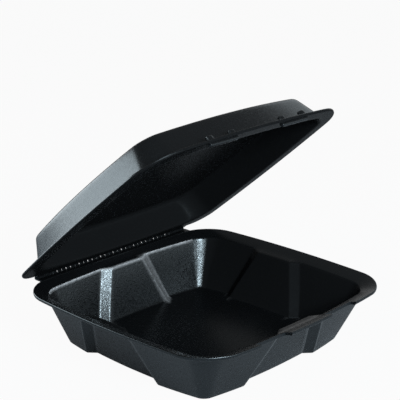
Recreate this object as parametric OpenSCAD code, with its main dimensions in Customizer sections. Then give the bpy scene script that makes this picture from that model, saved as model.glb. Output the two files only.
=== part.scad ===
/* [Rim] */
// Width of the tray along the hinge side, measured over its corners
rim_w = 228; // [180:1:280]
// Depth of the tray from the fold to the line through its front corners
rim_d = 224; // [180:1:280]
// How far each side edge bows outward at its middle
side_bow = 6; // [0:0.5:10]
// How far the front edge bows outward at its middle
front_bow = 8.5; // [0:0.5:14]
// How far the rear crease bows towards the fold at its middle
rear_bow = 7; // [0:0.5:10]
// Radius of the two front corners of the rim
front_corner_r = 30; // [18:1:40]
// Radius of the tray's two corners at the fold
rear_corner_r = 31; // [24:1:40]
// Width of the rim flange
flange_w = 13.5; // [10:0.5:18]
// How much higher the tray's flange is at its outer edge than at its crease
flange_rise = 5.5; // [1:0.5:7]
// Corner radius of the crease where flange meets wall
crease_corner_r = 17; // [12:1:26]

/* [Foam] */
// Thickness of the foam sheet
foam = 2.7; // [2:0.1:4]
// Rounding of the flange's cut edge
edge_round = 0.8; // [0.4:0.1:0.9]
// Reach of the soft bend where wall meets flange or floor
bend_reach = 3; // [2:0.5:6]

/* [Tray] */
// Height of the tray from its resting face to the rim
tray_h = 52; // [38:1:70]
// How far the resting face is drawn in from the rim on every side
floor_inset = 31; // [24:1:38]
// Corner radius of the resting face
floor_corner_r = 6; // [4:0.5:14]
// How far the edges of the resting face bow outward
floor_bow = 8; // [0:0.5:9]

/* [Wall panels] */
// Depth of the recessed panel in the middle of each wall
panel_depth = 4; // [2:0.1:6]
// Width of the sloping step around a panel
panel_step = 5; // [3:0.5:8]
// Half width of a panel at the flange's crease
panel_top_half = 20; // [10:0.5:24]
// Half width of a panel where it meets the resting face
panel_foot_half = 38; // [26:0.5:44]
// How far the panels of the two side walls sit towards the fold
panel_shift = 7.5; // [0:0.5:14]

/* [Lid] */
// Height of the closed lid above the rim
lid_h = 28; // [20:0.5:40]
// How far the flat top is drawn in from the rim
top_inset = 21.5; // [19:0.5:30]
// Corner radius of the flat top
top_corner_r = 13; // [10:0.5:24]
// How far the edges of the flat top bow outward
top_bow = 8; // [0:0.5:10]
// Radius of the lid's two corners at the fold, which are squarer than the tray's
lid_rear_corner_r = 18; // [14:1:30]
// Angle that the lid stands open from closed
open_angle = 40; // [0:1:180]

/* [Fold] */
// How far the fold stops short of each side of the rim
fold_short = 23; // [18:1:40]
// Width of the thin pressed web between the tray's rim and the fold
tray_web_w = 6; // [3:0.5:8]
// Width of the thin pressed web between the lid's rim and the fold
lid_web_w = 4; // [3:0.5:8]
// Thickness of the pressed web
web_t = 1.2; // [0.8:0.1:1.8]
// Distance from one perforation to the next
slit_pitch = 5.1; // [4:0.1:8]
// Length of one perforation along the fold
slit_len = 1.8; // [1.2:0.1:3.5]
// How far a perforation reaches into the web on each side of the fold
slit_reach = 0.6; // [0.4:0.1:1.5]

/* [Latches] */
// Distance of a latch slot's middle from the middle of the front edge
slot_x = 42; // [36:0.5:55]
// Width of a latch slot
slot_w = 34; // [26:0.5:44]
// How far a latch slot cuts into the front flange
slot_d = 8; // [6:0.5:9]
// How far a latch tongue hangs below the lid's flange
tongue_drop = 4.5; // [3.5:0.5:7]
// Thickness of a latch tongue from front to back
tongue_t = 4.2; // [3.4:0.2:5]
// Width of the raised boss at each end of a latch
boss_w = 7; // [4:0.5:9]
// Height of a latch boss above the flange
boss_h = 4; // [2:0.5:5]

/* [Fit] */
// Gap between the closed lid and the tray
close_gap = 0.6; // [0.3:0.1:1]
// Gap between a latch tongue and its slot
latch_gap = 1.2; // [0.6:0.1:2]

/* [Hidden] */
foam_colour = "#1c1d20";
half_w = rim_w / 2;
half_d = rim_d / 2;
// The fold runs along X at the back of the rim
fold_y = half_d;
fold_half = half_w - fold_short;
// Points along each part of a ring
flank_steps = 4;
panel_steps = 4;
corner_steps = 8;
// Steps of the web's root on each side of its middle
web_steps = 24;
// How far the web reaches into the rounded edge that it grows from
web_root = edge_round * 3 / 4;

// Blend from a to b
function mix(a, b, share) = a + (b - a) * share;
function unit(v) = v / norm(v);
// The same share held between nought and one
function held(share) = min(1, max(0, share));
// Corner of a second skin, one foam thickness along the normals of the two faces that meet there
function skin_corner(corner, normal_a, normal_b) =
    corner + foam * (normal_a + normal_b) / (1 + normal_a * normal_b);
// Corner of a profile as three points of a soft bend
function soft_bend(before, corner, after) =
    let (
        start = corner + bend_reach * unit(before - corner),
        finish = corner + bend_reach * unit(after - corner)
    )
    [start, (start + 2 * corner + finish) / 4, finish];
// Profile points as [inset, height, share of the panel's recess]
function plain(profile) = [for (p = profile) [p[0], p[1], 0]];
function pressed(profile) = [for (p = profile) [p[0], p[1], 1]];

// Places along one side of a ring, as [place, share of the panel's recess], from first to last
function side_places(first, last, middle, half) = concat(
    [for (i = [0 : flank_steps]) [mix(first, middle - half - panel_step, i / flank_steps), 0]],
    [for (i = [0 : panel_steps]) [mix(middle - half, middle + half, i / panel_steps), 1]],
    [for (i = [0 : flank_steps - 1]) [mix(middle + half + panel_step, last, i / flank_steps), 0]]
);
// Points of one rounded corner, without its last point
function corner_arc(centre, r, from) = [
    for (i = [0 : corner_steps - 1])
        let (angle = from + 90 * i / corner_steps)
        centre + r * [cos(angle), sin(angle)]
];

// One level ring of a shell. The point gives [inset, height, recess share]. The form gives the far end
// of the shell, [inset, corner radius, bow], then the rim's corner radius at the fold and its web.
function ring(point, form) =
    let (
        inset = point[0],
        z = point[1],
        press = point[2] * panel_depth,
        over_flange = held(inset / flange_w),
        down_wall = held((inset - flange_w) / (form[0] - flange_w)),
        w = half_w - inset,
        front = half_d - inset,
        rear = half_d - inset - form[4] * (1 - down_wall),
        r_front = mix(mix(front_corner_r, crease_corner_r, over_flange), form[1], down_wall),
        r_rear = mix(mix(form[3], crease_corner_r, over_flange), form[1], down_wall),
        half = mix(panel_foot_half, panel_top_half, held(z / tray_crease[1])),
        front_side = side_places(r_front - w, w - r_front, 0, half),
        rear_side = side_places(r_rear - w, w - r_rear, 0, half),
        right_side = side_places(r_front - front, rear - r_rear, panel_shift, half),
        left_side = side_places(r_rear - rear, front - r_front, -panel_shift, half),
        flat = concat(
            [for (p = front_side) [p[0], press * p[1] - front]],
            corner_arc([w - r_front, r_front - front], r_front, -90),
            [for (p = right_side) [w - press * p[1], p[0]]],
            corner_arc([w - r_rear, rear - r_rear], r_rear, 0),
            [for (p = rear_side) [-p[0], rear - press * p[1]]],
            corner_arc([r_rear - w, rear - r_rear], r_rear, 90),
            [for (p = left_side) [press * p[1] - w, -p[0]]],
            corner_arc([r_front - w, r_front - front], r_front, 180)
        ),
        bow_side = mix(side_bow, form[2], down_wall),
        bow_front = mix(front_bow, form[2], down_wall),
        bow_rear = mix(rear_bow * over_flange, form[2], down_wall)
    )
    [for (p = flat) let (
        along_x = p[0] / w,
        along_y = p[1] / (p[1] < 0 ? front : rear),
        push_x = sign(p[0]) * bow_side * (1 - pow(along_y, 2)) * pow(along_x, 4),
        push_y = (p[1] < 0 ? -bow_front : bow_rear) * (1 - pow(along_x, 2)) * pow(along_y, 4)
    ) [p[0] + push_x, p[1] + push_y, z]];

// Closed solid through a stack of rings, the first ring on top inside and the last below outside
module loft(rings) {
    n = len(rings[0]);
    last = len(rings) - 1;
    skin = [
        for (k = [0 : last - 1], i = [0 : n - 1])
            let (a = k * n + i, b = k * n + (i + 1) % n)
            each [[a, b, a + n], [b, b + n, a + n]]
    ];
    caps = [[for (i = [n - 1 : -1 : 0]) i], [for (i = [0 : n - 1]) last * n + i]];
    polyhedron(points = [for (r = rings) each r], faces = concat(caps, skin), convexity = 8);
}

// Rings of a flange's rounded cut edge, from its upper face to its lower face
function lip(upper_z, slope) =
    let (lower_z = upper_z - foam * norm([1, slope]))
    plain([
        [edge_round, upper_z - edge_round * slope],
        [0, upper_z - edge_round],
        [0, lower_z + edge_round],
        [edge_round, lower_z - edge_round * slope]
    ]);

// Food side of the tray: flange crease, then the floor's corner
tray_crease = [flange_w, tray_h - flange_rise];
tray_wall = unit([floor_inset - flange_w, flange_rise - tray_h]);
tray_out = [tray_wall[1], -tray_wall[0]];
// The outer skin is one foam thickness away
tray_crease_out = skin_corner(tray_crease, unit([-flange_rise, -flange_w]), tray_out);
tray_foot_out = [floor_inset, 0];
tray_foot = tray_foot_out - foam * (tray_out + [0, -1]) / (1 + tray_out * [0, -1]);

// The panels are pressed in from the crease down to the floor
function tray_skin(crease, foot) =
    let (bend = soft_bend([0, crease[1] + flange_rise], crease, foot))
    concat(
        plain([bend[0]]),
        pressed([bend[1], bend[2]]),
        pressed(soft_bend(crease, foot, foot + [1, 0]))
    );
function backwards(list) = [for (i = [len(list) - 1 : -1 : 0]) list[i]];

// Rear edge of the rim at a distance from its middle, for a corner radius and a width of web
function rear_edge(x, r, web_w) =
    let (into_corner = max(0, abs(x) - half_w + r))
    fold_y - web_w - r + sqrt(r * r - into_corner * into_corner);

// Pressed web from the rim's rear edge to the fold. Between its perforations stand the bridges.
module fold_web(z, corner_r, web_w) {
    count = floor((2 * fold_half - slit_pitch) / slit_pitch);
    tip_y = fold_y - close_gap / 2;
    root = [
        for (i = [-web_steps : web_steps])
            let (x = fold_half * i / web_steps)
            [x, rear_edge(x, corner_r, web_w) - web_root]
    ];
    translate([0, 0, z])
        linear_extrude(web_t)
            difference() {
                polygon(concat(root, [[fold_half, tip_y], [-fold_half, tip_y]]));
                for (i = [0 : count])
                    translate([(i - count / 2) * slit_pitch - slit_len / 2, fold_y - slit_reach])
                        square([slit_len, slit_reach]);
            }
}

// Place of the front edge of the rim at a distance from its middle
function front_edge(x) = -half_d - front_bow * (1 - pow(x / half_w, 2));

// Slots in the front flange that the latch tongues drop through
module latch_slots() {
    start_y = front_edge(slot_x) - front_bow;
    start_z = tray_h - flange_rise - 2 * foam;
    for (side = [-1, 1])
        translate([side * slot_x - slot_w / 2, start_y, start_z])
            cube([slot_w, slot_d + front_bow, flange_rise + 4 * foam]);
}

module base_tray() {
    form = [floor_inset, floor_corner_r, floor_bow, rear_corner_r, tray_web_w];
    profile = concat(
        backwards(tray_skin(tray_crease, tray_foot)),
        lip(tray_h - close_gap / 2, flange_rise / flange_w),
        tray_skin(tray_crease_out, tray_foot_out)
    );
    color(foam_colour) {
        difference() {
            loft([for (p = profile) ring(p, form)]);
            latch_slots();
        }
        fold_web(tray_h - close_gap / 2 - web_t, rear_corner_r, tray_web_w);
    }
}

// Cavity side of the lid: flange crease, then the ceiling's corner
lid_top_z = tray_h + lid_h;
lid_rim_z = tray_h + close_gap / 2;
lid_crease = [flange_w, lid_rim_z];
lid_wall = unit([top_inset - flange_w, lid_top_z - lid_crease[1]]);
lid_out = [-lid_wall[1], lid_wall[0]];
lid_crease_out = skin_corner(lid_crease, [0, 1], lid_out);
lid_top_out = [top_inset, lid_top_z];
lid_ceiling = lid_top_out - foam * (lid_out + [0, 1]) / (1 + lid_out * [0, 1]);

function lid_skin(crease, top) = plain(concat(
    soft_bend(top + [1, 0], top, crease),
    soft_bend(top, crease, [0, crease[1]])
));

// Tongues that hang from the lid's front flange into the slots of the tray
tongue_w = slot_w - 2 * latch_gap;
tongue_back = front_edge(slot_x) + slot_d - latch_gap;
tongue_front = tongue_back - tongue_t;
tongue_tip_z = tray_h - tongue_drop;
// Length of the sloping nose at the tongue's tip
nose = tongue_t / 2;
// Height of the middle of the lid's flange, where the latches take root
latch_root_z = lid_rim_z + foam / 2;

module latch_tongue() {
    rotate([90, 0, 90])
        linear_extrude(tongue_w, center = true)
            polygon([
                [tongue_back, latch_root_z],
                [tongue_front, latch_root_z],
                [tongue_front, tongue_tip_z + nose],
                [tongue_back - nose, tongue_tip_z],
                [tongue_back, tongue_tip_z + nose]
            ]);
}

// Boss that stiffens one end of a latch, standing on the flange
module latch_boss() {
    boss_top = latch_root_z + boss_h;
    rotate([90, 0, 90])
        linear_extrude(boss_w, center = true)
            polygon([
                [tongue_front, latch_root_z],
                [tongue_back + boss_h, latch_root_z],
                [tongue_back, boss_top],
                [tongue_front + nose / 2, boss_top]
            ]);
}

module closed_lid() {
    form = [top_inset, top_corner_r, top_bow, lid_rear_corner_r, lid_web_w];
    profile = concat(
        lid_skin(lid_crease_out, lid_top_out),
        lip(lid_rim_z + foam, 0),
        backwards(lid_skin(lid_crease, lid_ceiling))
    );
    loft([for (p = profile) ring(p, form)]);
    fold_web(lid_rim_z, lid_rear_corner_r, lid_web_w);
    for (side = [-1, 1]) {
        translate([side * slot_x, 0, 0])
            latch_tongue();
        for (end = [-1, 1])
            translate([side * slot_x + end * (tongue_w - boss_w) / 2, 0, 0])
                latch_boss();
    }
}

module lid() {
    color(foam_colour)
        translate([0, fold_y, tray_h])
            rotate([-open_angle, 0, 0])
                translate([0, -fold_y, -tray_h])
                    closed_lid();
}

base_tray();
lid();
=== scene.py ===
# %% [markdown]
# # A foam food box with a hinged lid
# The real box is one sheet of black polystyrene foam, softened by heat, pressed between two moulds and cut
# out in one stroke. A tray, a lid and the fold between them are all the same sheet. This lesson builds those
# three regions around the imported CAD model, which gives the sizes and the moving bodies.

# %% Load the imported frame
import math

import bmesh
import bpy
from mathutils import Matrix, Vector
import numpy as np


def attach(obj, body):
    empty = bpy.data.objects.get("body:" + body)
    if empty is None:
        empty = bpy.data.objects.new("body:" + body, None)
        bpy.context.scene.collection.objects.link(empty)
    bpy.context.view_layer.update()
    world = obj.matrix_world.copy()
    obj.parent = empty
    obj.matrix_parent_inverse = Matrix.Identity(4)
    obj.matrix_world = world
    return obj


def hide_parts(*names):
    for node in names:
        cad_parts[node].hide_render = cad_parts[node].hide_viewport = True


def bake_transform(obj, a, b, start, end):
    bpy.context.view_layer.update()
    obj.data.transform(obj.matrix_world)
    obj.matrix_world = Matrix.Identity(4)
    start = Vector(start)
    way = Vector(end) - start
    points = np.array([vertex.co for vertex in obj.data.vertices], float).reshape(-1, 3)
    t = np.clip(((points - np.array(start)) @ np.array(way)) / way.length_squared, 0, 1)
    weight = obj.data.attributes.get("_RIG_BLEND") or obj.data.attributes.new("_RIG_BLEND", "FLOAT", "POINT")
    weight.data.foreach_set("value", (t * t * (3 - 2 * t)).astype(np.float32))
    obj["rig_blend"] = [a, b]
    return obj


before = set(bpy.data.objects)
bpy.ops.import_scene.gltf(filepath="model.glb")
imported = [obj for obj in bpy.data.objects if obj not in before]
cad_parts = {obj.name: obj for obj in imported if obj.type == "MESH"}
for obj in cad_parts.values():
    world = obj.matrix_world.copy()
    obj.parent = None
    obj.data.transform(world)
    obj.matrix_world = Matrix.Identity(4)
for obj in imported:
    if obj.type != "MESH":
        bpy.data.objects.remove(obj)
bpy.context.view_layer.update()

bpy.ops.object.select_all(action="DESELECT")
MM = 0.001

# %% [markdown]
# ## Camera
# The photograph looks down on the near front corner from about 18 degrees, with a long lens, so the rim's
# lines run almost parallel. A camera can be aimed with a constraint, but a plain place and direction are
# easier to keep the same in every run.

# %% Camera at the photograph's angle
CAMERA_PLACE = Vector((-0.7335, -0.6993, 0.4551))
CAMERA_LOOK = Vector((0.6870, 0.6580, -0.3083))
CAMERA_LENS = 115.0

camera = bpy.data.objects.new("camera", bpy.data.cameras.new("camera"))
bpy.context.scene.collection.objects.link(camera)
camera.data.lens = CAMERA_LENS
camera.location = CAMERA_PLACE
camera.rotation_euler = CAMERA_LOOK.to_track_quat("-Z", "Y").to_euler()
bpy.context.scene.camera = camera
bpy.context.scene.view_settings.view_transform = "Standard"
looks_down = math.degrees(math.asin(-CAMERA_LOOK.normalized().z))
print("camera looks down by", round(looks_down, 1), "degrees")

# %% [markdown]
# ## White ground
# The box stands on plain white. The Light Path node makes the floor and the world white to the camera. Glossy
# rays see a share of that white too, and for the rest the floor stays an ordinary lit surface, so that the box
# drops a soft shadow on it and shows that shadow in its own walls. Brighter lamps could whiten the floor as
# well, but they would light the foam by as much.

# %% Helpers for shader nodes
RANGE = ("From Min", "From Max", "To Min", "To Max")


def add_node(tree, kind, inputs=None, **settings):
    """Add a shader node. An input is linked where a socket is given, and otherwise set to the value."""
    node = tree.nodes.new("ShaderNode" + kind)
    for key, value in settings.items():
        setattr(node, key, value)
    for socket, value in (inputs or {}).items():
        if isinstance(value, bpy.types.NodeSocket):
            tree.links.new(value, node.inputs[socket])
        else:
            node.inputs[socket].default_value = value
    return node


def map_range(tree, value, limits, **settings):
    """Socket with a value carried from one range to another: from low, from high, to low, to high."""
    inputs = {"Value": value, **dict(zip(RANGE, limits))}
    return add_node(tree, "MapRange", inputs, **settings).outputs["Result"]


def white_share(tree, direct, glossy):
    """Socket with the share of white for camera and transmission rays, and for glossy rays."""
    path = add_node(tree, "LightPath")
    rays = (("Is Camera Ray", direct), ("Is Transmission Ray", direct), ("Is Glossy Ray", glossy))
    shares = [
        add_node(tree, "Math", {0: path.outputs[ray], 1: share}, operation="MULTIPLY")
        for ray, share in rays
    ]
    either = shares[0]
    for share in shares[1:]:
        either = add_node(tree, "Math", {0: either.outputs[0], 1: share.outputs[0]}, operation="MAXIMUM")
    return either.outputs[0]


# %% Floor
FLOOR_HALF = 8.0
FLOOR_DIRECT, FLOOR_GLOSSY = 0.95, 0.04
FLOOR_COLOUR = (0.35, 0.38, 0.41, 1)

bpy.ops.mesh.primitive_plane_add(size=2 * FLOOR_HALF, location=(0, 0, 0))
floor = bpy.context.object
floor.name = "floor"
floor_finish = bpy.data.materials.new("floor_white")
floor_finish.use_nodes = True
tree = floor_finish.node_tree
tree.nodes.clear()
lit = add_node(tree, "BsdfDiffuse", {"Color": FLOOR_COLOUR})
white = add_node(tree, "Emission", {"Strength": 1.0})
share = white_share(tree, FLOOR_DIRECT, FLOOR_GLOSSY)
mixed = add_node(tree, "MixShader", {0: share, 1: lit.outputs[0], 2: white.outputs[0]})
add_node(tree, "OutputMaterial", {"Surface": mixed.outputs[0]})
floor.data.materials.append(floor_finish)
print(floor.name, "shows the camera", FLOOR_DIRECT, "of white")

# %% World, pale near the horizon and dim overhead
LOW_FILL, HIGH_FILL = 0.4, 0.08
LOW_Z, HIGH_Z = 0.10, 0.34
WORLD_GLOSSY = 0.03
WHITE = (1, 1, 1, 1)

world = bpy.data.worlds.new("white_room")
bpy.context.scene.world = world
world.use_nodes = True
tree = world.node_tree
tree.nodes.clear()
direction = add_node(tree, "TexCoord").outputs["Generated"]
height = add_node(tree, "SeparateXYZ", {0: direction}).outputs["Z"]
dimming = map_range(tree, height, (LOW_Z, HIGH_Z, LOW_FILL, HIGH_FILL), interpolation_type="SMOOTHSTEP")
fill = add_node(tree, "Background", {"Color": WHITE, "Strength": dimming})
plain_white = add_node(tree, "Background", {"Color": WHITE, "Strength": 1.0})
share = white_share(tree, 1.0, WORLD_GLOSSY)
mixed = add_node(tree, "MixShader", {0: share, 1: fill.outputs[0], 2: plain_white.outputs[0]})
add_node(tree, "OutputWorld", {"Surface": mixed.outputs[0]})
print("world fill", LOW_FILL, "to", HIGH_FILL)

# %% [markdown]
# ## Soft light
# Black foam shows its form mostly by what it mirrors. So the lamps are soft boxes around it: a low one behind
# on the left lights the lid's near wall, and the brightest stands in front and shines into the tray. One large
# lamp overhead would be simpler, but then the walls couldn't be lit one by one.

# %% Soft boxes
AIM = Vector((0, 0, 0.06))
LAMP_COLOUR = (0.88, 0.96, 1.0)
# Name, place, width and height in metres, and radiance
SOFT_BOXES = (
    ("left_box", (-0.36, 0.69, 0.17), 0.80, 0.32, 4.0),
    ("front_box", (-0.35, -1.09, 0.68), 0.66, 0.30, 27.0),
    ("corner_box", (0.29, -1.17, 0.33), 0.34, 0.22, 6.0),
    ("low_box", (0.66, -0.86, 0.20), 0.80, 0.20, 0.7),
    ("top_box", (-0.60, -0.45, 1.15), 0.60, 0.60, 3.0),
    ("side_box", (1.10, 0.36, 0.62), 0.50, 0.40, 0.9),
)


def soft_box(name, place, width, height, radiance):
    """Rectangular lamp aimed at the box. Its power follows from its area and how bright it looks."""
    data = bpy.data.lights.new(name, "AREA")
    data.shape = "RECTANGLE"
    data.size, data.size_y = width, height
    data.color = LAMP_COLOUR
    data.energy = radiance * math.pi * width * height
    lamp = bpy.data.objects.new(name, data)
    bpy.context.scene.collection.objects.link(lamp)
    lamp.location = place
    lamp.rotation_euler = (AIM - lamp.location).to_track_quat("-Z", "Y").to_euler()
    lamp.visible_camera = False
    print(name, round(data.energy, 2), "W")


for box in SOFT_BOXES:
    soft_box(*box)

# %% [markdown]
# ## The outline of one level
# Every level of the tray and of the lid is the same kind of outline: a square with bowed sides and rounded
# corners, and on the tray a panel pressed into the middle of each wall. On the real box the mould gives it.
# It could be drawn as a curve at each level, but one function of the height and the inset keeps all levels in
# step, and the wall between two of them comes out smooth.

# %% Sizes of the rim, in millimetres
HALF_W, HALF_D = 114.0, 112.0
SIDE_BOW, FRONT_BOW, REAR_BOW = 6.0, 8.5, 7.0
FRONT_CORNER_R, CREASE_CORNER_R = 30.0, 17.0
FLANGE_W, FOAM = 13.5, 2.7
TRAY_H, FLANGE_RISE = 52.0, 5.5
CREASE_Z = TRAY_H - FLANGE_RISE
CLOSE_GAP = 0.6
FOLD = Vector((0, HALF_D, TRAY_H))
print("rim over its bows:", 2 * (HALF_W + SIDE_BOW), "mm wide")

# %% Places along one side
# Half width, step and depth of a panel, at the foot and at the crease
PANEL_HALF, PANEL_STEP, PANEL_DEPTH = (36.5, 18.0), (7.5, 9.5), (5.2, 4.4)
PANEL_SHIFT = 7.5
# How a panel's step rises: share of its width, then share of its depth
STEP_RISE = ((0.0, 0.0), (0.08, 0.03), (0.20, 0.17), (0.50, 0.50), (0.80, 0.83), (0.92, 0.97))
# Columns along a flank and along a panel, close together at the edges of the steps
FLANK_SHARES = (0.0, 0.22, 0.44, 0.66, 0.85, 0.96)
PANEL_SHARES = (0.0, 0.04, 0.27, 0.5, 0.73, 0.96, 1.0)
CORNER_COLUMNS = 12


def mix(a, b, t):
    return a + (b - a) * t


def held(t):
    return min(1.0, max(0.0, t))


def side_places(first, last, middle, half, step):
    """Places from first to last, each with its share of the panel's depth. The last one is left out."""
    step_in, step_out = middle - half - step, middle + half + step
    places = [(mix(first, step_in, t), 0.0) for t in FLANK_SHARES]
    places += [(mix(step_in, middle - half, t), depth) for t, depth in STEP_RISE]
    places += [(mix(middle - half, middle + half, t), 1.0) for t in PANEL_SHARES]
    places += [(mix(step_out, middle + half, t), depth) for t, depth in reversed(STEP_RISE)]
    places += [(mix(last, step_out, t), 0.0) for t in reversed(FLANK_SHARES[1:])]
    return places


SIDE_COLUMNS = len(side_places(-1, 1, 0, 0, 0))
QUARTER = SIDE_COLUMNS + CORNER_COLUMNS
print("columns of a side and of a corner:", SIDE_COLUMNS, CORNER_COLUMNS)


# %% One level as a list of points
def corner(cx, cy, r, start):
    """Quarter of a circle from a start angle in degrees. The last point is left out."""
    angles = [math.radians(start + 90 * i / CORNER_COLUMNS) for i in range(CORNER_COLUMNS)]
    return [(cx + r * math.cos(a), cy + r * math.sin(a)) for a in angles]


def level(inset, z, press, shell):
    """Outline at one inset and height: front, right, rear and left side, each with the corner after it."""
    over_flange = held(inset / FLANGE_W)
    down_wall = held((inset - FLANGE_W) / (shell["inset"] - FLANGE_W))
    w, front = HALF_W - inset, HALF_D - inset
    rear = HALF_D - inset - shell["web_w"] * (1 - down_wall)
    r_front = mix(mix(FRONT_CORNER_R, CREASE_CORNER_R, over_flange), shell["corner_r"], down_wall)
    r_rear = mix(mix(shell["rear_r"], CREASE_CORNER_R, over_flange), shell["corner_r"], down_wall)
    up_wall = held(z / CREASE_Z)
    half, step, depth = (mix(*pair, up_wall) for pair in (PANEL_HALF, PANEL_STEP, PANEL_DEPTH))
    depth *= press

    front_side = side_places(r_front - w, w - r_front, 0, half, step)
    right_side = side_places(r_front - front, rear - r_rear, PANEL_SHIFT, half, step)
    rear_side = side_places(r_rear - w, w - r_rear, 0, half, step)
    left_side = side_places(r_rear - rear, front - r_front, -PANEL_SHIFT, half, step)
    flat = [(p, depth * s - front) for p, s in front_side]
    flat += corner(w - r_front, r_front - front, r_front, -90)
    flat += [(w - depth * s, p) for p, s in right_side]
    flat += corner(w - r_rear, rear - r_rear, r_rear, 0)
    flat += [(-p, rear - depth * s) for p, s in rear_side]
    flat += corner(r_rear - w, rear - r_rear, r_rear, 90)
    flat += [(depth * s - w, -p) for p, s in left_side]
    flat += corner(r_front - w, r_front - front, r_front, 180)

    bow_side = mix(SIDE_BOW, shell["bow"], down_wall)
    bow_front = mix(FRONT_BOW, shell["bow"], down_wall)
    bow_rear = mix(REAR_BOW * over_flange, shell["bow"], down_wall)
    points = []
    for x, y in flat:
        along_x, along_y = x / w, y / (front if y < 0 else rear)
        push_x = math.copysign(bow_side, x) * (1 - along_y ** 2) * along_x ** 4
        push_y = (-bow_front if y < 0 else bow_rear) * (1 - along_x ** 2) * along_y ** 4
        points.append(Vector((x + push_x, y + push_y, z)) * MM)
    return points


print("points of a level:", 4 * QUARTER)

# %% [markdown]
# ## From a circle to a shell
# Thermoformed sheet is a skin that goes down the inside, over the rim and back along the outside, one foam
# thickness away. It can be made with Solidify, but then the rim's cut edge can't be rounded by itself. Here a
# circle is laid on the first level and its edge is extruded from level to level, so that both skins and the
# rounded lip are one mesh. It is subdivided while its two middles are open, because a point where so many edges
# meet is slow to subdivide, and each middle is then drawn together into a point. Every vertex also keeps two
# notes for the finish: how strong a painted highlight its edge gets, and what its skin is like.

# %% Bends and lips of the profile
UP = Vector((0, 1))
# Rounding of a cut edge, and how far in its arc lies halfway
EDGE_ROUND, ARC_SHARE = 0.9, 0.3


def unit(v):
    return v.normalized()


def bend(before, corner_point, after, reach, steps):
    """Soft corner of a profile, from the side of before to the side of after."""
    start = corner_point + reach * unit(before - corner_point)
    finish = corner_point + reach * unit(after - corner_point)
    return [
        (1 - t) ** 2 * start + 2 * t * (1 - t) * corner_point + t ** 2 * finish
        for t in (i / steps for i in range(steps + 1))
    ]


def second_skin(corner_point, normal_a, normal_b):
    """Corner of a skin one foam thickness away, along the normals of the two faces that meet there."""
    return corner_point + FOAM * (normal_a + normal_b) / (1 + normal_a.dot(normal_b))


def lip(upper_z, slope):
    """Rounded cut edge of a flange, from its upper face to its lower face, as inset and height."""
    lower_z = upper_z - FOAM * math.hypot(1, slope)
    arc = EDGE_ROUND * ARC_SHARE
    return [
        Vector((2 * EDGE_ROUND, upper_z - 2 * EDGE_ROUND * slope)),
        Vector((EDGE_ROUND, upper_z - EDGE_ROUND * slope)),
        Vector((arc, upper_z - arc)),
        Vector((0, upper_z - EDGE_ROUND)),
        Vector((0, lower_z + EDGE_ROUND)),
        Vector((arc, lower_z + arc - EDGE_ROUND * slope)),
        Vector((EDGE_ROUND, lower_z - EDGE_ROUND * slope)),
        Vector((2 * EDGE_ROUND, lower_z - 2 * EDGE_ROUND * slope)),
    ]


print("points of a lip:", len(lip(TRAY_H, 0)))


# %% Laying the edge of a circle on a level
# Shares of a level's size at the rings that lead to its middle
CENTRE_RINGS = (0.94, 0.8, 0.55, 0.28, 0.1)
# Kinds of skin. The dull one also lifts the foam's black with a painted fill light
DULL_FILL_SKIN, CLOSED_SKIN, OPEN_CELLS = -1.0, 0.0, 1.0


def lay_on(mesh, points, edges, skins):
    """Put the selected ring of vertices on a level, each on its own column, with its two notes."""
    bm = bmesh.from_edit_mesh(mesh)
    column = bm.verts.layers.int["column"]
    edge, skin = bm.verts.layers.float["edge"], bm.verts.layers.float["cells"]
    for vert in bm.verts:
        if vert.select:
            place = vert[column]
            vert.co, vert[edge], vert[skin] = points[place], edges[place], skins[place]
    bmesh.update_edit_mesh(mesh)


def towards_middle(points):
    """Rings that carry the edge of a level towards its middle."""
    middle = sum(points, Vector()) / len(points)
    return [[mix(middle, p, share) for p in points] for share in CENTRE_RINGS]


def apply_modifier(piece, kind, **settings):
    """Add one modifier to a piece, set it and apply it."""
    modifier = piece.modifiers.new(kind.lower(), kind)
    for key, value in settings.items():
        setattr(modifier, key, value)
    bpy.context.view_layer.objects.active = piece
    bpy.ops.object.modifier_apply(modifier=modifier.name)


print("rings to each middle:", len(CENTRE_RINGS))


# %% Extruding it from level to level
def close_middles(shell):
    """Draw each open middle of the active object together into a point, and turn all faces outward. The shell
    argument is not used.
    """
    bpy.ops.object.mode_set(mode="EDIT")
    bpy.ops.mesh.select_all(action="DESELECT")
    bpy.ops.mesh.select_non_manifold(extend=False)
    bpy.ops.mesh.merge(type="COLLAPSE")
    bpy.ops.mesh.select_all(action="SELECT")
    bpy.ops.mesh.normals_make_consistent(inside=False)
    bpy.ops.object.mode_set(mode="OBJECT")


def pressed_shell(name, levels, edges, skins):
    """Closed shell through a list of levels, with the painted edge highlight and the skin of each."""
    plain = [[0.0] * len(levels[0])] * len(CENTRE_RINGS)
    points = towards_middle(levels[0])[::-1] + levels + towards_middle(levels[-1])
    edges = plain + edges + plain
    skins = [skins[0]] * len(CENTRE_RINGS) + skins + [skins[-1]] * len(CENTRE_RINGS)
    bpy.ops.object.select_all(action="DESELECT")
    bpy.ops.mesh.primitive_circle_add(vertices=len(points[0]), radius=HALF_W * MM)
    shell = bpy.context.object
    shell.name = shell.data.name = name
    column = shell.data.attributes.new("column", "INT", "POINT")
    column.data.foreach_set("value", list(range(len(points[0]))))
    # The edge note holds the strength of a painted highlight
    shell.data.attributes.new("edge", "FLOAT", "POINT")
    shell.data.attributes.new("cells", "FLOAT", "POINT")
    bpy.ops.object.mode_set(mode="EDIT")
    bpy.ops.mesh.select_mode(type="VERT")
    bpy.ops.mesh.select_all(action="SELECT")
    for i, ring in enumerate(zip(points, edges, skins)):
        if i > 0:
            bpy.ops.mesh.extrude_edges_move()
        lay_on(shell.data, *ring)
    bpy.ops.object.mode_set(mode="OBJECT")
    apply_modifier(shell, "SUBSURF", levels=1, render_levels=1)
    close_middles(shell)
    print(name, len(levels), "levels,", len(shell.data.polygons), "faces")
    return shell


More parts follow.
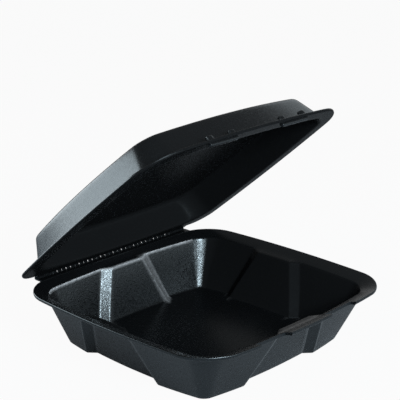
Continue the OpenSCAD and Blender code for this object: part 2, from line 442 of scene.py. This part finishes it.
# %% [markdown]
# ## The tray
# The tray is 52 mm deep, with walls that lean out, a floor drawn in by 31 mm and a flange that slopes down
# to its crease. The panels make the walls stiff and give the tray its feet. Each corner of the profile is bent
# a little, as foam can't take a sharp fold. A finished wall could be bevelled instead, but here the bends are
# just more levels.

# %% Profile of the tray
FLOOR_INSET = 31.0
TRAY = dict(inset=FLOOR_INSET, corner_r=6.0, bow=8.0, rear_r=31.0, web_w=6.0)
CREASE_BEND, FOOT_REACH, BEND_STEPS = 1.4, 1.8, 4
# Where a level holds the flange, how fast a panel starts at the crease, and levels on the wall
FLANGE_SHARE, PRESS_RATE = 0.4, 2.2
WALL_SHARES = (0.25, 0.5, 0.75)

crease = Vector((FLANGE_W, CREASE_Z))
wall = unit(Vector((FLOOR_INSET - FLANGE_W, -CREASE_Z)))
wall_out = Vector((wall.y, -wall.x))
flange_under = unit(Vector((-FLANGE_RISE, -FLANGE_W)))
crease_out = second_skin(crease, flange_under, wall_out)
foot_out = Vector((FLOOR_INSET, 0))
foot = second_skin(foot_out, -wall_out, UP)


def wall_skin(crease_point, foot_point):
    """Skin from flange to floor, with how far the panel is pressed in at each level."""
    outer_edge = Vector((0, crease_point.y + FLANGE_RISE))
    top = bend(outer_edge, crease_point, foot_point, CREASE_BEND, BEND_STEPS)
    low = bend(crease_point, foot_point, foot_point + Vector((1, 0)), FOOT_REACH, BEND_STEPS)
    rows = [(mix(outer_edge, crease_point, FLANGE_SHARE), 0.0)]
    rows += [(p, held(PRESS_RATE * i / BEND_STEPS)) for i, p in enumerate(top)]
    rows += [(mix(crease_point, foot_point, t), 1.0) for t in WALL_SHARES]
    return rows + [(p, 1.0) for p in low]


rows = list(reversed(wall_skin(crease, foot)))
rows += [(p, 0.0) for p in lip(TRAY_H - CLOSE_GAP / 2, FLANGE_RISE / FLANGE_W)]
rows += wall_skin(crease_out, foot_out)
print("wall leans out by", round(math.degrees(math.asin(wall.x)), 1), "degrees")

# %% [markdown]
# ## Painted highlights and open cells
# In the photograph the rear crease and the panels' edges catch the light, and silvery cells show on the rear
# wall only. Here that light is a painted highlight in the colour of those edges, the cells run on halfway
# round the rear wall's corners, and the other walls are dull. This could be painted with a texture, but notes
# on the columns and levels follow the shape by themselves.

# %% Notes for the tray's finish
# Painted highlight on a step's edges and on the rear panel's far step, and how much brighter it is outside
STEP_HIGHLIGHT, FAR_STEP_HIGHLIGHT, OUTSIDE_HIGHLIGHT_GAIN = 0.07, 0.4, 2.5
# Painted highlight on the crease at front, right, rear and left, and how near to it a level has to be
CREASE_HIGHLIGHT, CREASE_REACH = (0.05, 0.0, 1.0, 0.05), 0.3
OPEN_CORNER = 6

edge_of_step = [STEP_HIGHLIGHT] + [0.0] * (len(STEP_RISE) - 1)
edge_of_panel = [STEP_HIGHLIGHT] + [0.0] * (len(PANEL_SHARES) - 2) + [STEP_HIGHLIGHT]
flank = [0.0] * len(FLANK_SHARES)
side = flank + edge_of_step + edge_of_panel + edge_of_step[::-1] + flank[1:]
step_edges = (side + [0.0] * CORNER_COLUMNS) * 4
far_step = 2 * QUARTER + len(FLANK_SHARES)
for i in range(far_step, far_step + len(STEP_RISE) + 1):
    step_edges[i] = FAR_STEP_HIGHLIGHT
crease_edges = [share for share in CREASE_HIGHLIGHT for _ in range(QUARTER)]
# The other inside walls get dull skin too, and with it the painted fill light in their colour
into_corner = [DULL_FILL_SKIN] * (CORNER_COLUMNS - OPEN_CORNER) + [OPEN_CELLS] * OPEN_CORNER
column_skins = [DULL_FILL_SKIN] * (QUARTER + SIDE_COLUMNS) + into_corner
column_skins += [OPEN_CELLS] * SIDE_COLUMNS + into_corner[::-1] + [DULL_FILL_SKIN] * QUARTER


def tray_highlights(p, press, outside):
    """Painted highlights of one level. The crease and the far step get them only inside."""
    if outside:
        return [press * OUTSIDE_HIGHLIGHT_GAIN * min(step, STEP_HIGHLIGHT) for step in step_edges]
    at_crease = 1.0 if abs(p.x - FLANGE_W) < CREASE_REACH else 0.0
    return [max(press * step, at_crease * rim) for step, rim in zip(step_edges, crease_edges)]


def tray_skins(p, press, outside):
    """Skin of one level. It is closed on the flange, the floor and the outside."""
    share = 0.0 if outside or p.x >= foot.x else press
    return [share * skin for skin in column_skins]


print("columns with open cells:", column_skins.count(OPEN_CELLS))

# %% Pressing the tray
levels = [level(p.x, p.y, press, TRAY) for p, press in rows]
outside = [i >= len(rows) / 2 for i in range(len(rows))]
painted_highlights = [tray_highlights(p, press, out) for (p, press), out in zip(rows, outside)]
skins = [tray_skins(p, press, out) for (p, press), out in zip(rows, outside)]
tray_shell = pressed_shell("tray_shell", levels, painted_highlights, skins)

# %% [markdown]
# ## Latch slots
# Two slots are cut into the front flange, and the lid's tongues drop into them. A cutting die makes them on the
# real box. The faces of the flange could be deleted and bridged, but they don't end where the slots do, so a
# rounded block is taken away from it with a Boolean.

# %% Cutting the slots
SLOT_X, SLOT_W, SLOT_D = 42.0, 34.0, 8.0
SLOT_CORNER, SLOT_SEGMENTS = 2.0, 5
BLOCK_DEPTH, BLOCK_HEIGHT = 40.0, 16.0


def front_edge(x):
    """Place of the rim's front edge at a distance from its middle."""
    return -HALF_D - FRONT_BOW * (1 - (x / HALF_W) ** 2)


def slot_block(x):
    """Rounded block that fills one slot and reaches out in front of the rim."""
    middle_y = front_edge(SLOT_X) + SLOT_D - BLOCK_DEPTH / 2
    bpy.ops.object.select_all(action="DESELECT")
    bpy.ops.mesh.primitive_cube_add(size=1, location=Vector((x, middle_y, TRAY_H)) * MM)
    block = bpy.context.object
    block.scale = Vector((SLOT_W, BLOCK_DEPTH, BLOCK_HEIGHT)) * MM
    bpy.ops.object.transform_apply(location=True, rotation=True, scale=True)
    bpy.ops.object.mode_set(mode="EDIT")
    bpy.ops.mesh.select_mode(type="EDGE")
    bpy.ops.mesh.select_all(action="DESELECT")
    bm = bmesh.from_edit_mesh(block.data)
    for edge in bm.edges:
        a, b = edge.verts
        upright = abs(a.co.z - b.co.z) > BLOCK_HEIGHT / 2 * MM
        edge.select = upright and a.co.y > middle_y * MM
    bmesh.update_edit_mesh(block.data)
    bpy.ops.mesh.bevel(offset=SLOT_CORNER * MM, segments=SLOT_SEGMENTS)
    bpy.ops.object.mode_set(mode="OBJECT")
    return block


for x in (-SLOT_X, SLOT_X):
    block = slot_block(x)
    apply_modifier(tray_shell, "BOOLEAN", operation="DIFFERENCE", solver="MANIFOLD", object=block)
    bpy.data.objects.remove(block)
print("tray_shell with slots", len(tray_shell.data.polygons), "faces")

# %% [markdown]
# ## The lid
# The lid is the same sheet and the same press, but shallower, with plain walls and a flat flange. It could be
# built open, but its levels lie level only when it is closed, so it is built closed and then turned open about
# the fold by the angle in the photograph. Its inside is almost black there, so its skin inside is made dull, and
# its colour there is a slightly lighter black as a painted fill light for its shaded ceiling.

# %% Profile and levels of the lid
LID_H, TOP_INSET = 28.0, 21.5
LID_RIM_Z = TRAY_H + CLOSE_GAP / 2
LID = dict(inset=TOP_INSET, corner_r=13.0, bow=8.0, rear_r=18.0, web_w=4.0)
LID_BEND, TOP_REACH = 2.6, 4.0
LID_WALL_SHARE, LID_FLANGE_SHARE = 0.5, 0.6

lid_crease = Vector((FLANGE_W, LID_RIM_Z))
lid_wall = unit(Vector((TOP_INSET - FLANGE_W, LID_H - CLOSE_GAP / 2)))
lid_out = Vector((-lid_wall.y, lid_wall.x))
lid_crease_out = second_skin(lid_crease, UP, lid_out)
top_out = Vector((TOP_INSET, TRAY_H + LID_H))
ceiling = second_skin(top_out, -lid_out, -UP)


def lid_skin(crease_point, top_point):
    """Skin from the flat top to the flange."""
    rim = Vector((0, crease_point.y))
    high = bend(top_point + Vector((1, 0)), top_point, crease_point, TOP_REACH, BEND_STEPS)
    low = bend(top_point, crease_point, rim, LID_BEND, BEND_STEPS)
    on_wall = mix(top_point, crease_point, LID_WALL_SHARE)
    return high + [on_wall] + low + [mix(crease_point, rim, LID_FLANGE_SHARE)]


rows = lid_skin(lid_crease_out, top_out) + lip(LID_RIM_Z + FOAM, 0)
rows += list(reversed(lid_skin(lid_crease, ceiling)))
levels = [level(p.x, p.y, 0, LID) for p in rows]
# Dull skin inside, which also lifts its black with a painted fill light
skins = [[CLOSED_SKIN if i < len(rows) / 2 else DULL_FILL_SKIN] * len(levels[0]) for i in range(len(rows))]
lid_shell = pressed_shell("lid_shell", levels, [[0.0] * len(levels[0])] * len(levels), skins)

# %% [markdown]
# ## Latches
# Each latch is a tongue under the lid's front flange with a raised boss at both ends, pressed into the same
# sheet. It could be pressed into the lid's levels too, but it is so small that a bar is easier: the underside is
# drawn down to a blunt nose, and the ends are drawn up. The bar's root is sunk in the flange.

# %% Sizes of a latch
LATCH_GAP, ROOT_SUNK = 1.2, 0.4
TONGUE_W, TONGUE_T, TONGUE_DROP = SLOT_W - 2 * LATCH_GAP, 4.2, 2.2
BOSS_W, BOSS_H = 7.0, 4.0
TONGUE_Y = front_edge(SLOT_X) + SLOT_D - LATCH_GAP - TONGUE_T / 2
BAR_LOW, BAR_HIGH = LID_RIM_Z + ROOT_SUNK, LID_RIM_Z + FOAM - ROOT_SUNK
# Share of the tongue that drops straight, and how the nose and the bosses narrow
STRAIGHT_SHARE, NOSE_SIZE, BOSS_SIZE = 0.65, (0.97, 0.5, 1), (0.75, 0.75, 1)
LATCH_ROUND, LATCH_SEGMENTS, LATCH_ANGLE = 0.7, 2, math.radians(30)
FACING = 0.9
print("tongue", TONGUE_W, "mm wide in a slot of", SLOT_W, "mm")


# %% One latch, from a bar
def select_faces(piece, test):
    """Select the faces of a piece in edit mode whose middle and normal pass a test."""
    bpy.ops.mesh.select_mode(type="FACE")
    bpy.ops.mesh.select_all(action="DESELECT")
    bm = bmesh.from_edit_mesh(piece.data)
    for face in bm.faces:
        face.select = test(face.calc_center_median() / MM, face.normal)
    bm.select_flush_mode()
    bmesh.update_edit_mesh(piece.data)


def draw_out(rise):
    """Extrude the selected faces up or down."""
    bpy.ops.mesh.extrude_region_move(TRANSFORM_OT_translate={"value": (0, 0, rise * MM)})


def narrow(size, centre):
    """Resize the selected faces about a centre."""
    bpy.ops.transform.resize(value=size, center_override=centre * MM)


def latch(name, x):
    """Tongue and bosses of one latch, at a distance from the middle of the front edge."""
    centre = Vector((x, TONGUE_Y, 0))
    drop = BAR_LOW - (TRAY_H - TONGUE_DROP)
    boss_x = TONGUE_W / 2 - BOSS_W
    bpy.ops.object.select_all(action="DESELECT")
    bpy.ops.mesh.primitive_cube_add(size=1, location=Vector((x, TONGUE_Y, (BAR_LOW + BAR_HIGH) / 2)) * MM)
    piece = bpy.context.object
    piece.name = piece.data.name = name
    piece.scale = Vector((TONGUE_W, TONGUE_T, BAR_HIGH - BAR_LOW)) * MM
    bpy.ops.object.transform_apply(location=True, rotation=True, scale=True)
    bpy.ops.object.mode_set(mode="EDIT")
    for end in (-1, 1):
        bpy.ops.mesh.select_all(action="SELECT")
        bpy.ops.mesh.bisect(plane_co=Vector((x + end * boss_x, 0, 0)) * MM, plane_no=(1, 0, 0))
    select_faces(piece, lambda middle, normal: normal.z < -FACING)
    draw_out(-drop * STRAIGHT_SHARE)
    draw_out(-drop * (1 - STRAIGHT_SHARE))
    narrow(NOSE_SIZE, centre)
    for end in (-1, 1):
        select_faces(piece, lambda middle, normal: normal.z > FACING and end * (middle.x - x) > boss_x)
        draw_out(BOSS_H + ROOT_SUNK)
        narrow(BOSS_SIZE, centre + Vector((end * (TONGUE_W - BOSS_W) / 2, 0, 0)))
    bpy.ops.mesh.select_all(action="SELECT")
    bpy.ops.mesh.normals_make_consistent(inside=False)
    bpy.ops.object.mode_set(mode="OBJECT")
    rounding = dict(width=LATCH_ROUND * MM, segments=LATCH_SEGMENTS)
    apply_modifier(piece, "BEVEL", limit_method="ANGLE", angle_limit=LATCH_ANGLE, **rounding)
    apply_modifier(piece, "SUBSURF", levels=1, render_levels=1)
    print(name, len(piece.data.polygons), "faces")
    return piece


latches = [latch("latch_left", -SLOT_X), latch("latch_right", SLOT_X)]

# %% [markdown]
# ## Opening the lid
# The lid and its latches are turned together about the fold. Turning the objects would be shorter, but a piece
# has to stay unturned at the origin, so its vertices are turned. Without a window, Blender's rotate turns the
# other way round from what the hand expects, so the height that each piece then reaches is printed.

# %% Turn the lid about the fold
OPEN_ANGLE = math.radians(40)


def turn_open(piece):
    """Turn a piece about the fold, and return how high it then reaches."""
    bpy.ops.object.select_all(action="DESELECT")
    piece.select_set(True)
    bpy.context.view_layer.objects.active = piece
    bpy.ops.object.mode_set(mode="EDIT")
    bpy.ops.mesh.select_all(action="SELECT")
    bpy.ops.transform.rotate(value=OPEN_ANGLE, orient_axis="X", center_override=FOLD * MM)
    bpy.ops.object.mode_set(mode="OBJECT")
    return max(v.co.z for v in piece.data.vertices) / MM


for piece in [lid_shell] + latches:
    print(piece.name, "now reaches", round(turn_open(piece), 1), "mm up")

# %% [markdown]
# ## The perforated fold
# Tray and lid meet in a thin strip that the press has squeezed flat, with a row of slits so that it bends along
# one line. It could be cut with Booleans, but a grid with columns at the ends of every slit needs only some
# faces deleted. The grid lies flat, as the sheet left the press, and is then curled about the fold.

# %% Columns and rows of the strip
FOLD_HALF, SLIT_PITCH, SLIT_LEN, SLIT_REACH = 91.0, 5.1, 1.2, 0.4
# Bare length at each end, and the shares of its length that half a slit takes
SLIT_CLEAR, SLIT_SHORT, SLIT_SPREAD = 19.0, 0.35, 0.3
# Golden share, whose multiples never repeat, for slits of uneven length
UNEVEN = 0.618
WEB_T, WEB_ROOT, CURL = 1.2, 1.2, 1.5
TRAY_ROOT, LID_ROOT = TRAY["web_w"] + WEB_ROOT, LID["web_w"] + WEB_ROOT
# From the tray's rim over the fold to the lid's rim
STRIP_ROWS = (-TRAY_ROOT, -3.4, -CURL, -1.1, -SLIT_REACH, 0.0, SLIT_REACH, 1.1, CURL, 2.6, LID_ROOT)

slits = int(2 * (FOLD_HALF - SLIT_CLEAR) // SLIT_PITCH) + 1
slit_middles = [(i - (slits - 1) / 2) * SLIT_PITCH for i in range(slits)]
slit_halves = [SLIT_LEN * (SLIT_SHORT + SLIT_SPREAD * (i * UNEVEN % 1)) for i in range(slits)]
columns = [-FOLD_HALF, slit_middles[0] - SLIT_PITCH / 2]
for middle, half in zip(slit_middles, slit_halves):
    columns += [middle - half, middle, middle + half, middle + SLIT_PITCH / 2]
columns += [FOLD_HALF]
print(slits, "slits between", len(columns), "columns")


# %% Strip with slits
def rear_edge(x, shell):
    """Rear edge of a shell's rim at a distance from its middle."""
    r = shell["rear_r"]
    past_corner = max(0.0, abs(x) - HALF_W + r)
    return HALF_D - shell["web_w"] - r + math.sqrt(r * r - past_corner * past_corner)


def in_slit(middle, normal):
    """Whether a face of the flat strip lies in a slit."""
    on_fold = abs(middle.y - HALF_D) < SLIT_REACH
    return on_fold and any(abs(middle.x - x) < half for x, half in zip(slit_middles, slit_halves))


last_column, last_row = len(columns) - 1, len(STRIP_ROWS) - 1
bpy.ops.object.select_all(action="DESELECT")
bpy.ops.mesh.primitive_grid_add(x_subdivisions=last_column, y_subdivisions=last_row, size=1)
fold_web = bpy.context.object
fold_web.name = fold_web.data.name = "fold_web"
for vert in fold_web.data.vertices:
    x = columns[round((vert.co.x + 0.5) * last_column)]
    row = round((vert.co.y + 0.5) * last_row)
    y = HALF_D + STRIP_ROWS[row] if row > 0 else rear_edge(x, TRAY) - WEB_ROOT
    vert.co = Vector((x, y, TRAY_H - CLOSE_GAP / 2 - WEB_T / 2)) * MM
bpy.ops.object.mode_set(mode="EDIT")
select_faces(fold_web, in_slit)
bpy.ops.mesh.delete(type="FACE")
bpy.ops.object.mode_set(mode="OBJECT")
print("fold_web", len(fold_web.data.polygons), "faces")


# %% Curl the strip about the fold
def share_of_turn(y):
    """How much of the lid's turn a point of the flat strip takes."""
    t = held((y - HALF_D + CURL) / (2 * CURL))
    return t * t * (3 - 2 * t)


apply_modifier(fold_web, "SOLIDIFY", thickness=WEB_T * MM, offset=0)
for vert in fold_web.data.vertices:
    flat = vert.co / MM
    turn = Matrix.Rotation(share_of_turn(flat.y) * (math.pi - OPEN_ANGLE), 3, "X")
    vert.co = (FOLD + turn @ (flat - FOLD)) * MM
print("fold_web reaches", round(max(v.co.z for v in fold_web.data.vertices) / MM, 1), "mm up")

# %% [markdown]
# ## The foam's finish
# Black extruded foam has a smooth, slightly glossy skin with fine cells just under it. Light that grazes it
# shows them as a silvery speckle, so here each open cell has a roughness of its own. A picture of foam could be
# wrapped round the box, but noise on the object's own coordinates needs no unwrapping and has the same grain
# everywhere. The notes from the shells say where the cells are open, where the skin is dull and given a lighter
# black as painted fill light, and where an edge gets a painted highlight.

# %% Colour of the foam
DARK_FOAM, PALE_FOAM = (0.0034, 0.0039, 0.0045, 1), (0.0050, 0.0057, 0.0066, 1)
# Colour of the painted highlight on noted edges, mixed in by the edge note and the grain
EDGE_HIGHLIGHT = (0.70, 0.74, 0.78, 1)
# Lighter black where the skin is dull: a painted fill light that lifts the shaded insides
PAINTED_FILL_FOAM = (0.0080, 0.0088, 0.0096, 1)


def mix_node(tree, kind, share, a, b):
    """Socket with a mix of two values or colours."""
    return add_node(tree, "Mix", {"Factor": share, "A": a, "B": b}, data_type=kind).outputs["Result"]


def foam_colour(tree, patches, grain, skin):
    """Two blacks in soft patches, painted highlight on noted edges, painted fill light where skin is dull."""
    black = mix_node(tree, "RGBA", patches, DARK_FOAM, PALE_FOAM)
    edge = add_node(tree, "Attribute", attribute_name="edge").outputs["Fac"]
    highlight_share = add_node(tree, "Math", {0: edge, 1: grain}, operation="MULTIPLY").outputs[0]
    highlighted = mix_node(tree, "RGBA", highlight_share, black, EDGE_HIGHLIGHT)
    return mix_node(tree, "RGBA", map_range(tree, skin, (DULL_FILL_SKIN, CLOSED_SKIN, 1, 0)), highlighted, PAINTED_FILL_FOAM)


print("darkest and palest foam:", DARK_FOAM[0], EDGE_HIGHLIGHT[0])

# %% Shine and relief of the foam
GRAIN_LIMITS, SKIN_ROUGH, CELL_ROUGH = (0.3, 0.7), (0.20, 0.30), (0.14, 0.43)
# Strength of the cells' relief when closed and open, strength of the grain's, and both heights in metres
CELL_DEPTH, GRAIN_DEPTH = (0.04, 0.25), 0.06
CELL_HEIGHT, GRAIN_HEIGHT = 0.00025, 0.0003


def foam_roughness(tree, cells, grain, skin):
    """Skin that varies with the grain, or its own roughness for each open cell."""
    smooth = map_range(tree, grain, GRAIN_LIMITS + SKIN_ROUGH)
    each = add_node(tree, "SeparateColor", {0: cells.outputs["Color"]}).outputs["Red"]
    return mix_node(tree, "FLOAT", skin, smooth, map_range(tree, each, (0, 1) + CELL_ROUGH))


def foam_relief(tree, cells, grain, skin):
    """Cells, deeper where they are open, and the grain over them."""
    depth = map_range(tree, skin, (CLOSED_SKIN, OPEN_CELLS) + CELL_DEPTH)
    pits = {"Strength": depth, "Distance": CELL_HEIGHT, "Height": cells.outputs["Distance"]}
    pitted = add_node(tree, "Bump", pits).outputs["Normal"]
    grains = {"Strength": GRAIN_DEPTH, "Distance": GRAIN_HEIGHT, "Height": grain, "Normal": pitted}
    return add_node(tree, "Bump", grains).outputs["Normal"]


print("roughness of open cells:", CELL_ROUGH)

# %% The whole finish
FOAM_IOR, SKIN_TINT = 1.6, (0.80, 0.93, 1.0, 1)
# Specular level of dull and of plain skin
DULL_SHINE, PLAIN_SHINE = 0.02, 0.5
CELL_SCALE, GRAIN_SCALE, GRAIN_DETAIL, PATCH_SCALE = 900.0, 450.0, 3.0, 28.0
SMOOTH_ANGLE = math.radians(35)


def foam_finish(name):
    """Black foam with a satin skin."""
    finish = bpy.data.materials.new(name)
    finish.use_nodes = True
    tree = finish.node_tree
    place = add_node(tree, "TexCoord").outputs["Object"]
    cells = add_node(tree, "TexVoronoi", {"Vector": place, "Scale": CELL_SCALE})
    fine = {"Vector": place, "Scale": GRAIN_SCALE, "Detail": GRAIN_DETAIL}
    grain = add_node(tree, "TexNoise", fine).outputs["Fac"]
    patches = add_node(tree, "TexNoise", {"Vector": place, "Scale": PATCH_SCALE}).outputs["Fac"]
    skin = add_node(tree, "Attribute", attribute_name="cells").outputs["Fac"]
    shader = tree.nodes["Principled BSDF"]
    shader.inputs["IOR"].default_value = FOAM_IOR
    shader.inputs["Specular Tint"].default_value = SKIN_TINT
    shine = map_range(tree, skin, (DULL_FILL_SKIN, CLOSED_SKIN, DULL_SHINE, PLAIN_SHINE))
    tree.links.new(shine, shader.inputs["Specular IOR Level"])
    tree.links.new(foam_colour(tree, patches, grain, skin), shader.inputs["Base Color"])
    tree.links.new(foam_roughness(tree, cells, grain, skin), shader.inputs["Roughness"])
    tree.links.new(foam_relief(tree, cells, grain, skin), shader.inputs["Normal"])
    return finish


black_foam = foam_finish("black_foam_skin")
for piece in [tray_shell, lid_shell, fold_web] + latches:
    piece.data.materials.clear()
    piece.data.materials.append(black_foam)
    bpy.ops.object.select_all(action="DESELECT")
    piece.select_set(True)
    bpy.context.view_layer.objects.active = piece
    bpy.ops.object.shade_smooth_by_angle(angle=SMOOTH_ANGLE)
print(black_foam.name, len(black_foam.node_tree.nodes), "nodes")

# %% [markdown]
# ## Joining the bodies
# The tray's shell moves with the tray and the lid's shell and latches with the lid. The fold is part of both.
# It could ride on one of them, but then it would tear away from the other, so each point of the strip takes its
# own share of the turn.

# %% Ride, blend and hand over
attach(tray_shell, "tray")
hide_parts("base_tray")
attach(lid_shell, "lid")
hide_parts("lid")
for piece in latches:
    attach(piece, "lid")
BLEND_HALF = 0.85
half_turn = Vector((0, math.sin(OPEN_ANGLE / 2), math.cos(OPEN_ANGLE / 2)))
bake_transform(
    fold_web, "tray", "lid",
    start=(FOLD - BLEND_HALF * half_turn) * MM, end=(FOLD + BLEND_HALF * half_turn) * MM,
)
